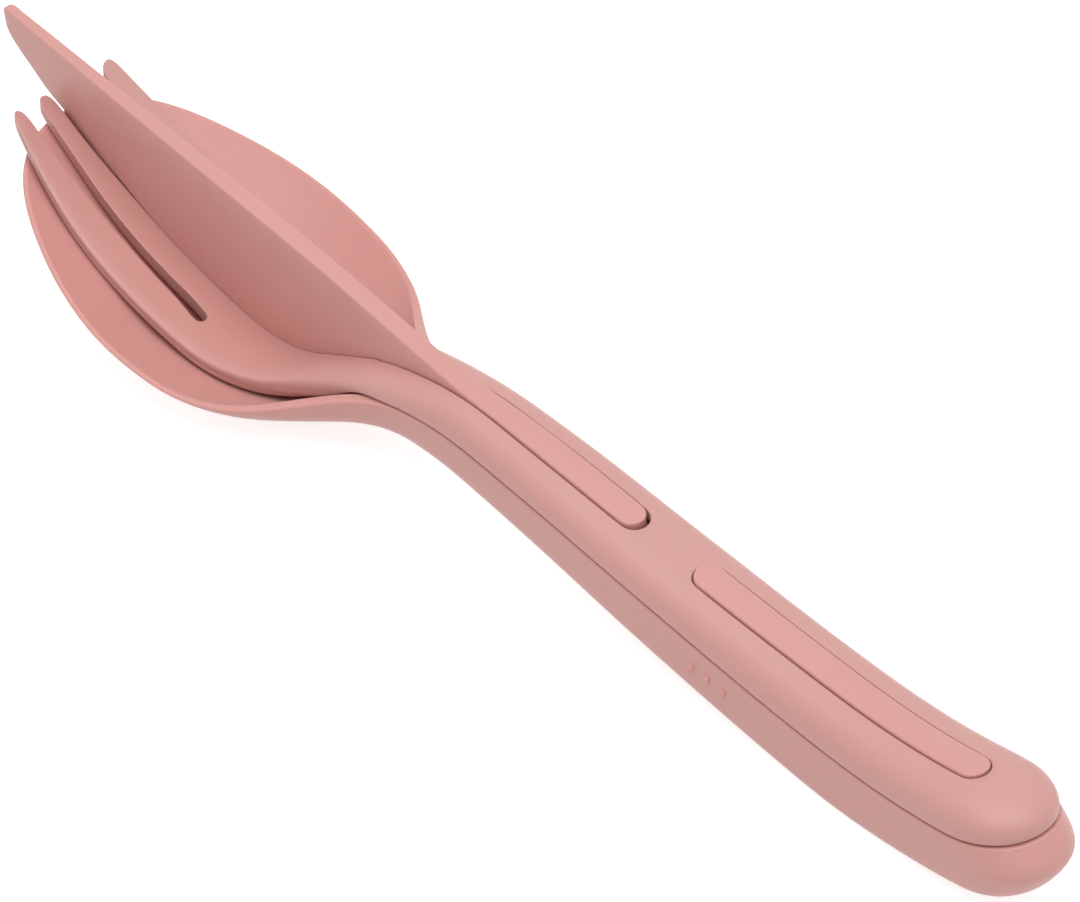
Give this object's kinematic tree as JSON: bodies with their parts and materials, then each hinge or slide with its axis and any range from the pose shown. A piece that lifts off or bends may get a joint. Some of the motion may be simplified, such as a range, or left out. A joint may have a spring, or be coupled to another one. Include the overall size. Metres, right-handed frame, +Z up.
{
  "type": "nested cutlery set",
  "caption": "Reusable plastic spoon, fork and knife that nest into one slim handle, with the knife standing on edge over the bowl.",
  "frame": {"origin": "middle of the footprint at the height of the surface the set lies on", "axes": "+X from the handle end to the knife tip, +Y to the side with the small raised dots, +Z up"},
  "size_m": [0.1978, 0.043, 0.0294],
  "materials": {
    "spoon_plastic": "fine matte, dusty pink",
    "fork_plastic": "fine matte, dusty pink",
    "knife_plastic": "fine matte, dusty pink"
  },
  "bodies": {
    "root": {"spoon": "spoon_plastic", "fork": "fork_plastic", "knife": "knife_plastic"}
  },
  "joints": []
}
